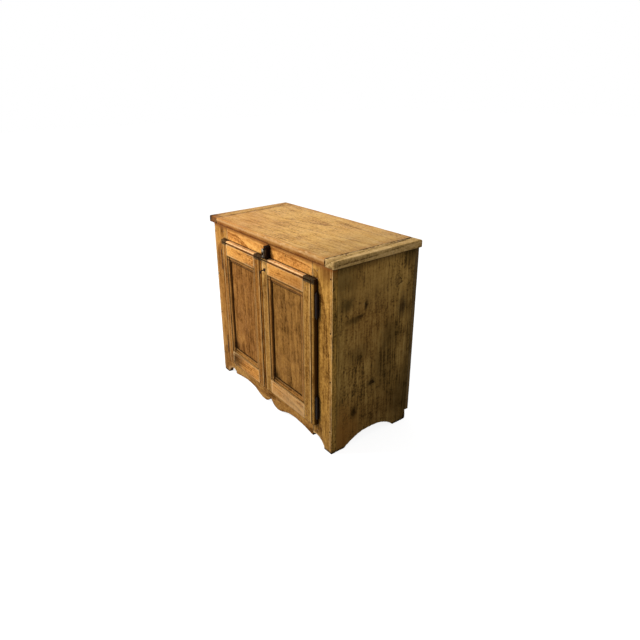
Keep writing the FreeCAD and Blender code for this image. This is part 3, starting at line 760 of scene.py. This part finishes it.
# The apron's bare colour is dark, so its arrises are painted dark, as shade at its scalloped edge.
finishes["apron"] = old_pine(
    "waxed_pine_apron", ("CC9648", "A87434", "6A4218"), "52300F", outlines=dirt_and_shade_around_doors,
    darker_below=0.2, wear=0.9)
finishes["side"] = old_pine(
    "dark_pine_side", ("D4A95C", "AC823F", "4C381A"), "9A7A40",
    {"blotches": 1.0, "clouds": 1.2, "rings": 0.2, "fibres": 2.3, "grit": 1.9, "mottle": 0.9},
    knots=side_knots, knot_share=0.85, stains=side_stains,
    # The two dark bands under the top are painted shade under the overhang.
    outlines=[floor_line, level_line(top_low.z, 34, "241A0A", 0.45),
              level_line(top_low.z, 7, "140B04", 0.5), back_line],
    holes=0.8, cracks=0.6, darker_below=0.55, roughness=0.65, shine=0.08)
finishes["back"] = old_pine(
    "rough_pine_back", ("7C603A", "5E4526", "332210"), "86704C", roughness=0.8, shine=0.1)
finishes["inside"] = old_pine(
    "unwaxed_pine_inside", ("B8925E", "96713F", "64451F"), "B89868", {"rings": 0.6},
    roughness=0.75, shine=0.15)
finishes["block"] = old_pine(
    "blackened_pine_block", ("30201A", "1A110D", "0C0705"), "6A4A34",
    holes=0.0, wear=0.5, roughness=0.4, shine=0.4)
finishes["button"] = old_pine(
    "rubbed_and_highlit_pine_button", ("38261A", "1E130C", "0C0704"), "8A7458",
    # The pale chip on the button's upper arm is a painted highlight.
    knocks_and_glints=[(on_face(31, 787, 25), (0.008, 0.05, 0.011), "CABCA0", 0.8)],
    holes=0.0, wear=0.8, roughness=0.35, shine=0.5)
print("finishes so far:", len(finishes))

# %% [markdown]
# ### Marks of the doors
#
# The outer edges of a door are moulded, with a quirk, a narrow groove, full of dirt, and on
# the rails also painted shadow under the bead. The cut ends of the stiles are nearly black,
# and a painted shade line runs along each door's foot. The lines follow the mouldings, which
# the right door lacks along its meeting edge.

# %% Mix the pines of the door frames
SIDE_MOULD, TOP_MOULD, QUIRK = 20, 12, 2.4
STILE_SHADES = {"right": ("C89648", "A07030", "5E3C14"), "left": ("B0782F", "8C581E", "522C0A")}
END_SHARES = {"right": {"hinge_stile": 0.85, "meeting_stile": 0.35},
              "left": {"hinge_stile": 0.75, "meeting_stile": 0.8}}
rubbed = {"right": [(on_face(10, 709), (0.018, 0.1, 0.02), "E4AE66", 0.7)], "left": []}
smoky = {"right": [(on_face(270, 705), (0.12, 0.1, 0.034), "94602C", 0.55),
                   (on_face(230, 120), (0.24, 0.1, 0.07), "B0966C", 0.5)],
         "left": [(on_face(-310, 140), (0.11, 0.1, 0.06), "402A14", 0.95)]}
sights = {side: box_of(*(f"{side}_door_moulding_{part}"
                         for part in ("hinge", "meeting", "top", "bottom"))) for side in SIDES}


def drawn_in(side, edge_inset, top_inset):
    """The outline that a planing step leaves on a door's moulded edges."""
    left_inset = None if side == "right" else edge_inset
    return outline(*doors[side], left_inset, edge_inset, None, top_inset)


def around_panel(side, inset, reach, line_colour, share):
    """A line all the way round a panel, drawn in from the frame."""
    return (*outline(*sights[side], inset, inset, inset, inset), reach, line_colour, share)


for side in SIDES:
    door = doors[side]
    quirk = drawn_in(side, SIDE_MOULD - QUIRK / 2, TOP_MOULD - QUIRK / 2)
    joint = around_panel(side, 0, 2.0, DIRT_AND_SHADE, 0.9)
    # A dark line along the door's foot is painted shade.
    shaded_door_foot = (*outline(*door, None, None, 0, None), 4, "3A1C0A", 0.8)
    for part, end_share in END_SHARES[side].items():
        finishes[f"{side}_{part}"] = old_pine(
            f"waxed_pine_{side}_{part}", STILE_SHADES[side], "E0B270", stains=rubbed[side],
            outlines=[joint, (*quirk, 2.6, "4A280F", 0.8), shaded_door_foot,
                      (*drawn_in(side, 0, None), 5, "3A230C", 0.9)],
            darker_below=0.15, end_above=door[1].z - 20 * MM, end_share=end_share)
    finishes[f"{side}_rail"] = old_pine(
        f"waxed_pine_{side}_door_rail", ("ECAC54", "CE8A3C", "7A4616"), "F4CC90",
        stains=smoky[side],
        # A pale line on the bead's crown is a painted highlight with wear; the next is painted
        # shade on its flank.
        outlines=[joint, (*outline(*door, None, None, None, 2), 3.0, "FFD29A", 0.7),
                  (*outline(*door, None, None, None, 7), 3.0, "9A5C28", 0.5),
                  # The wide quirk line is dirt and painted shadow under the bead.
                  (*quirk, 5.2, "521F00", 0.9), shaded_door_foot],
        darker_below=0.1, dirt_and_shade_share=0.35)
print("the right panel shows", [round(v, 3) for v in sights["right"][1] - sights["right"][0]])

# %% [markdown]
# A bead of the moulding around a panel is pale where it is rubbed and lit, as rubbed wood and
# painted highlight, and dark on its shaded flank, as painted shade. So the moulding is a
# handful of outlines, drawn in one after another.

# %% Mix the pines of the panels and their mouldings
PANEL_MOULD = 25
PANEL_SHADES = {"right": ("A97836", "895E2A", "4C3010"), "left": ("B17B38", "8D5C28", "503010")}
for side in SIDES:
    sight = sights[side]
    corner = sight[0] + PANEL_MOULD * MM * Vector((1, 0, 1))
    # Darker in the lower left inner corner of each panel.
    dark_panel_corner = [(corner, (0.04, 0.1, 0.05), "180D06", 0.85)]
    finishes[f"{side}_panel"] = old_pine(
        f"brown_pine_{side}_panel", PANEL_SHADES[side], "A87838",
        {"rings": 0.3, "fibres": 1.6, "grit": 1.3}, stains=dark_panel_corner,
        # Dark around the panel's edge: dirt and the painted shadow of the moulding.
        outlines=[around_panel(side, PANEL_MOULD, 6, DIRT_AND_SHADE, 0.9)], dirt_and_shade_reach=22 * MM)
    finishes[f"{side}_mould"] = old_pine(
        f"pine_{side}_moulding", ("AC7838", "7E5222", "40240C"), "C89858", stains=dark_panel_corner,
        # Pale at 11 mm in: painted highlight on the bead's crown, with rubbed wood.
        outlines=[around_panel(side, 11, 4.0, "B8803C", 0.5),
                  around_panel(side, 0, 2.0, DIRT_AND_SHADE, 0.9),
                  # Dark at 4.6 mm in: dirt and painted shade in the quirk.
                  around_panel(side, 4.6, 2.4, "34190A", 0.8),
                  # Pale along the bottom: painted highlight where light catches the upward faces.
                  (*outline(*sight, None, None, 1.8, None), 1.8, "E2AC60", 0.7),
                  (*outline(*sight, None, None, None, PANEL_MOULD - 6), 4.0, "54240E", 0.8),
                  # Dark on the inner half of the left moulding: painted shade on its shaded flank.
                  (*outline(*sight, PANEL_MOULD - 3, None, None, None), 8, "220E05", 0.9),
                  around_panel(side, PANEL_MOULD, 3.0, DIRT_AND_SHADE, 0.85)])
print("finishes of pine:", len(finishes))

# %% [markdown]
# ## Black iron
#
# The hinges and nails are wrought iron: hammered, blackened with oil and smoke, and a little
# rusty. It is rough for a metal, so it takes a low metallic value where rust has covered it.

# %% Forge the iron
def black_iron(name, dark, rust, roughness):
    """Hammered iron under old oil, with rust in patches."""
    material, tree, surface = new_material(name)
    place = add(tree, "TexCoord", output="Object")
    patches = add(tree, "TexNoise", None, {"Vector": place, "Scale": 90.0, "Detail": 4.0})
    pits = add(tree, "TexNoise", None, {"Vector": place, "Scale": 420.0, "Detail": 3.0})
    rusty = add(tree, "MapRange", None, {"Value": patches, "From Min": 0.48, "From Max": 0.66})
    colour = add(tree, "Mix", COLOURS, {0: rusty, 6: linear(dark), 7: linear(rust)}, 2)
    metal = add(tree, "MapRange", None, {"Value": rusty, "To Min": 0.12, "To Max": 0.02})
    gloss = add(tree, "MapRange", None,
                {"Value": pits, "To Min": roughness - 0.12, "To Max": roughness + 0.2})
    relief = add(tree, "Bump", None, {"Strength": 0.7, "Distance": 0.5 * MM, "Height": pits})
    shader = add(tree, "BsdfPrincipled", None,
                 {"Base Color": colour, "Metallic": metal, "Roughness": gloss, "Normal": relief,
                  "Specular IOR Level": 0.12})
    tree.links.new(shader, surface)
    return material


finishes["iron"] = black_iron("blackened_wrought_iron", "160C08", "241208", 0.5)
finishes["nail"] = black_iron("rusted_nail_iron", "1E120A", "2A180C", 0.75)
finishes["screw"] = black_iron("rubbed_steel_screw", "8C8478", "5A4636", 0.4)
print("iron is ready")

# %% [markdown]
# ## Wearing a board
#
# The CAD pieces are perfect: flat faces that meet in knife edges. The same board after a
# century has eased edges, uneven faces, and small nicks along every arris. The copy of each
# CAD mesh is merged and its flat triangles dissolved, its arrises are bevelled, and planes
# cut the faces into a net that is fine enough to be moved. A remesh would be simpler, but it
# would soften the corners and lose the holes for pegs.

# %% Find the arrises and cut the net
MERGE = 0.01 * MM
SHARP = math.radians(40.0)
SHORTEST_ARRIS = 4 * MM
AXES = {"x": Vector((1, 0, 0)), "y": Vector((0, 1, 0)), "z": Vector((0, 0, 1))}


def arrises_of(mesh):
    """The sharp outer edges of a board, without the rims of nail and peg holes."""
    return [edge for edge in mesh.edges
            if edge.is_manifold and edge.calc_face_angle() > SHARP
            and edge.calc_length() > SHORTEST_ARRIS]


def points_along(edges, spacing):
    """A search tree of points along edges."""
    points = []
    for edge in edges:
        start, end = (vert.co.copy() for vert in edge.verts)
        count = max(1, math.ceil((end - start).length / spacing))
        points += [start.lerp(end, i / count) for i in range(count + 1)]
    tree = kdtree.KDTree(len(points))
    for number, point in enumerate(points):
        tree.insert(point, number)
    tree.balance()
    return tree


def cut_net(mesh, low, high, step, margin):
    """Cut a mesh with planes a step apart, and one just inside each side of its box."""
    for number, axis in enumerate(AXES.values()):
        span = high[number] - low[number]
        if span < 3 * margin:
            continue
        count = max(1, round((span - 2 * margin) / step))
        for i in range(count + 1):
            place = low[number] + margin + (span - 2 * margin) * i / count
            everything = mesh.verts[:] + mesh.edges[:] + mesh.faces[:]
            bmesh.ops.bisect_plane(mesh, geom=everything, dist=MERGE,
                                   plane_co=axis * place, plane_no=axis)


print("arrises are sharper than", round(math.degrees(SHARP)), "degrees")

# %% [markdown]
# ### What each point remembers
#
# The finishes ask the mesh where a point lies in the tree, how near it is to an arris, and
# whether its face is a cut end, is turned to the back, or looks outwards. A shader could
# guess at some of this, but the mesh knows, so it is stored as attributes. A seed from the
# piece's name gives each board its own place in the tree.

# %% Store where each point lies
WEAR_REACH = 7 * MM
FACING, TURNED = 0.8, 0.5


def store_places(mesh, middle, along, near, seed):
    """Store on a board its place in the tree, the nearness of arrises, and how faces look."""
    grain_layer = mesh.verts.layers.float_vector.new("grain")
    wear_layer = mesh.verts.layers.float.new("wear")
    cut_end = mesh.faces.layers.float.new("cut_end")
    turned_back = mesh.faces.layers.float.new("turned_back")
    outer = mesh.faces.layers.float.new("outer")
    way = AXES[along]
    across = AXES["z" if along == "x" else "x"]
    through = way.cross(across)
    heart = Vector((1.3 * seed, 0.03 * math.sin(3 * seed), 0.035 + 0.02 * math.sin(seed)))
    for vert in mesh.verts:
        offset = vert.co - middle
        vert[grain_layer] = heart + Vector((offset.dot(way), offset.dot(across),
                                            offset.dot(through)))
        vert[wear_layer] = max(0.0, 1.0 - near.find(vert.co)[2] / WEAR_REACH)
    for face in mesh.faces:
        outwards = face.normal.x * math.copysign(1, middle.x)
        face[cut_end] = 1.0 if abs(face.normal.dot(way)) > FACING else 0.0
        face[turned_back] = 1.0 if face.normal.y > TURNED else 0.0
        face[outer] = 1.0 if outwards > FACING else 0.0
        face.smooth = True


print("wear reaches", round(WEAR_REACH / MM), "mm in from an arris")

# %% [markdown]
# ### Moving the points
#
# Every move goes inwards, because wear only takes wood away, so that no board swells into
# its neighbour. Slow waves leave the faces uneven, and finer ones bite nicks out of the
# arrises. A Displace modifier would need a texture for each board to do the same.

# %% Move the points inwards
WAVE_SIZE, DENT_SIZE, NICK_SIZE = 70 * MM, 34 * MM, 11 * MM
NICK_LEVEL = 0.62
CREASE = math.radians(50)


def unevenness(point, size, seed):
    """Smooth random waves from 0 to 1, about a size apart."""
    wave = noise.noise(point / size + Vector((seed, 2.7 * seed, 0.6 * seed)))
    return min(1.0, max(0.0, 0.5 + 0.5 * wave))


def wear_down(mesh, wave, nick, seed):
    """Sink the faces in waves and the arrises in nicks, up to so many millimetres."""
    wear_layer = mesh.verts.layers.float["wear"]
    moves = []
    for vert in mesh.verts:
        rough = (unevenness(vert.co, NICK_SIZE, seed + 5)
                 + 0.5 * unevenness(vert.co, DENT_SIZE, seed))
        depth = wave * unevenness(vert.co, WAVE_SIZE, seed)
        depth += vert[wear_layer] * nick * max(0.0, rough - NICK_LEVEL) * 3
        moves.append(vert.normal * (-depth * MM))
    for vert, move in zip(mesh.verts, moves):
        vert.co += move
    for edge in mesh.edges:
        edge.smooth = not (edge.is_manifold and edge.calc_face_angle() > CREASE)


print("nicks are about", round(NICK_SIZE / MM), "mm apart")

# %% [markdown]
# ### A board that stands for its CAD piece
#
# The CAD piece that the worn copy replaces is hidden, and the copy rides on the body that
# carried it. Its points keep their places, so the object stays at the origin. Weighted
# normals keep wide faces flat to the eye beside small bevels.

# %% Wear one board
FLAT = math.radians(1.0)


def dressed(name, mesh, node, finish):
    """Make a bmesh an object that stands for a CAD node and rides on its body."""
    data = bpy.data.meshes.new(name)
    mesh.to_mesh(data)
    mesh.free()
    obj = bpy.data.objects.new(name, data)
    bpy.context.scene.collection.objects.link(obj)
    data.materials.append(finishes[finish])
    modifier = obj.modifiers.new("even_shading", "WEIGHTED_NORMAL")
    modifier.keep_sharp = True
    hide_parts(node)
    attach(obj, body_of_node[node])
    return obj


def worn_board(node, along, finish, bevel=1.2, step=22, wave=0.4, nick=0.9, margin=6):
    """Wear and dress a copy of a CAD board, and count its faces. Sizes are in mm."""
    seed = 1.0 + 0.618 * (sum(map(ord, node)) % 97)
    mesh = bmesh.new()
    mesh.from_mesh(frame["nodes"][node].data)
    bmesh.ops.remove_doubles(mesh, verts=mesh.verts, dist=MERGE)
    bmesh.ops.dissolve_limit(mesh, angle_limit=FLAT, verts=mesh.verts, edges=mesh.edges)
    arrises = arrises_of(mesh)
    near = points_along(arrises, 3 * MM)
    bmesh.ops.bevel(mesh, geom=arrises, offset=bevel * MM, segments=2, profile=0.5,
                    affect="EDGES", clamp_overlap=True, material=-1)
    low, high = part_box(node)
    cut_net(mesh, low, high, step * MM, margin * MM)
    mesh.normal_update()
    store_places(mesh, (low + high) / 2, along, near, seed)
    wear_down(mesh, wave, nick, seed)
    return len(dressed("worn_" + node, mesh, node, finish).data.polygons)


print("a worn board stands for its CAD board and rides on the same body")

# %% [markdown]
# ## The top
#
# One wide board with the grain along it, clamped at both ends by a cross cleat whose grain
# runs from front to back. The front arris has taken a century of knocks, so it is nicked
# more than anything else.

# %% Wear the top
faces = 0
for node, along, finish, step, nick in (("top_board", "x", "top", 12, 2.2),
                                        ("top_cleat_right", "y", "right_cleat", 9, 2.4),
                                        ("top_cleat_left", "y", "left_cleat", 9, 2.0)):
    faces += worn_board(node, along, finish, bevel=0.8, step=step, wave=0.9, nick=nick)
print("top:", faces, "faces")

# %% [markdown]
# ## The case and the face frame
#
# Sides, back, stiles, rails and the scalloped apron. Upright boards have upright grain.
# Boards inside and at the back are hardly seen, so a wider net does for them.

# %% Wear the case
case_boards = {"front_top_rail": ("x", "rail"), "front_apron": ("x", "apron"),
               "bottom_board": ("x", "inside"), "shelf_board": ("x", "inside"),
               "back_top_rail": ("x", "back")}
case_boards |= {f"back_board_{number}": ("z", "back") for number in range(1, 5)}
for side in SIDES:
    case_boards |= {f"side_panel_{side}": ("z", "side"), f"front_stile_{side}": ("z", "stile"),
                    f"bottom_cleat_{side}": ("y", "inside"),
                    f"shelf_cleat_{side}": ("y", "inside")}
faces = 0
for node, (along, finish) in case_boards.items():
    inner = finish in ("inside", "back")
    wear = {"step": 30, "wave": 0.2, "nick": 0.3} if inner else {"step": 16, "nick": 1.2}
    faces += worn_board(node, along, finish, **wear)
print("case:", faces, "faces")

# %% [markdown]
# ## The doors
#
# Each door is a frame of stiles and rails around a sunk panel, with mitred mouldings planted
# on the panel. The mouldings are fine work, so their arrises are eased much less.

# %% Wear the doors
faces = 0
for side in SIDES:
    pieces = {"hinge_stile": "z", "meeting_stile": "z", "top_rail": "x", "bottom_rail": "x"}
    for part, along in pieces.items():
        finish = f"{side}_rail" if along == "x" else f"{side}_{part}"
        faces += worn_board(f"{side}_door_{part}", along, finish, bevel=0.5, step=16,
                            wave=0.3, nick=0.7)
    faces += worn_board(f"{side}_door_panel", "z", f"{side}_panel", bevel=0.3, wave=0.5,
                        nick=0.0)
    for part, along in {"hinge": "z", "meeting": "z", "top": "x", "bottom": "x"}.items():
        faces += worn_board(f"{side}_door_moulding_{part}", along, f"{side}_mould",
                            bevel=0.4, step=14, wave=0.2, nick=0.4, margin=3)
print("doors:", faces, "faces")

# %% [markdown]
# ## Latch, irons, pegs and nails
#
# The turn button and its block are black with handling. Hinges, pull, nails, screw and pegs
# keep their CAD shape, since hammer marks and splinters would be finer than a pixel. Only
# their material changes: iron, or the dark end grain of a riven peg.

# %% Finish the small pieces
worn_board("latch_block", "z", "block", bevel=1.0, step=8, wave=0.3, nick=0.8, margin=3)
worn_board("turn_button", "z", "button", bevel=1.0, step=6, wave=0.3, nick=0.8, margin=3)

finishes["peg"], tree, surface = new_material("pine_peg_end")
place = add(tree, "TexCoord", output="Object")
fleck = add(tree, "TexNoise", None, {"Vector": place, "Scale": 300.0, "Detail": 3.0})
colour = add(tree, "Mix", COLOURS, {0: fleck, 6: linear("8A5C2C"), 7: linear("4A2E14")}, 2)
tree.links.new(add(tree, "BsdfPrincipled", None, {"Base Color": colour, "Roughness": 0.7}),
               surface)


def refinish(node, finish):
    """Give a CAD node that stays in view a better material."""
    data = frame["nodes"][node].data
    data.materials.clear()
    data.materials.append(finishes[finish])


for node in frame["nodes"]:
    if node.endswith("_pegs"):
        refinish(node, "peg")
    elif node.endswith(("_leaf", "_pin")) or node == "door_pull":
        refinish(node, "iron")
refinish("case_nails", "nail")
refinish("latch_screw", "screw")
print("small pieces are dressed")
